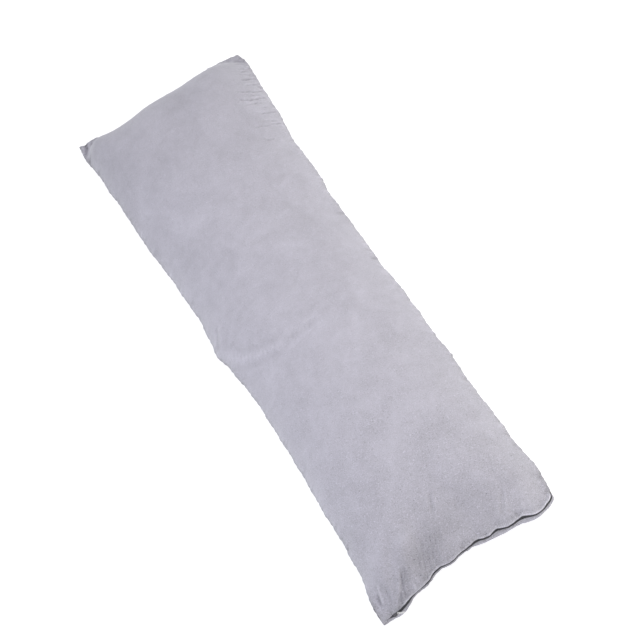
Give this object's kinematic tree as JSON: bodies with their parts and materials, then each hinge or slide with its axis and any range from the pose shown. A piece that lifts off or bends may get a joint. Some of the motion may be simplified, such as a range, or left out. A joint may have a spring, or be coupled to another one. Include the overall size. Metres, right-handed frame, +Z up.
{
  "type": "body pillow",
  "caption": "Long rectangular body pillow in short plush, filled, with pointed corner ears, gathered side seams and a concealed zip across one short end.",
  "frame": {"origin": "on the floor, under the centre of the whole pillow's box", "axes": "+Y along the length towards the head end, so the zip is at -Y; +X across the width; +Z up, out of the front panel"},
  "size_m": [0.4122, 1.4589, 0.1307],
  "materials": {
    "plush": "short velour plush in pale lilac grey, matt with a soft sheen",
    "zip": "dark grey woven tape and coil",
    "zip_fitting": "pale grey enamelled slider and pull tab"
  },
  "bodies": {
    "root": {"pillow": "plush", "zip_chain": "zip", "zip_slider": "zip_fitting", "zip_pull": "zip_fitting"}
  },
  "joints": []
}
